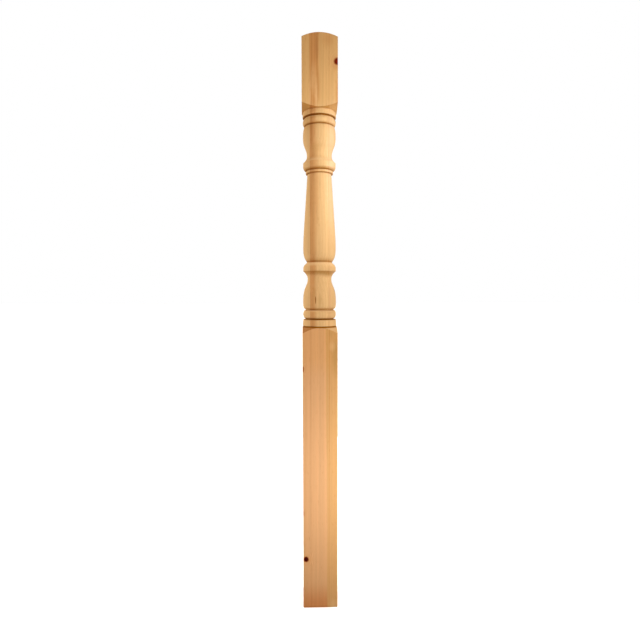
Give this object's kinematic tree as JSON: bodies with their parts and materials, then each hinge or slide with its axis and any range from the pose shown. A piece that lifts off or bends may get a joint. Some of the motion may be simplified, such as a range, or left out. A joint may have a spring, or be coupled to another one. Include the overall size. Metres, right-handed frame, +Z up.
{
  "type": "newel post",
  "caption": "Turned softwood newel post with a square foot, a vase and bulb turning, and a square domed head that takes the handrail.",
  "frame": {"origin": "middle of the sawn underside of the foot", "axes": "+Z up along the post's turning axis, towards the dome; -Y out of the face that the picture shows"},
  "size_m": [0.091, 0.091, 1.5],
  "materials": {
    "pine": "sanded, unfinished"
  },
  "bodies": {
    "root": {"newel_post": "pine"}
  },
  "joints": []
}
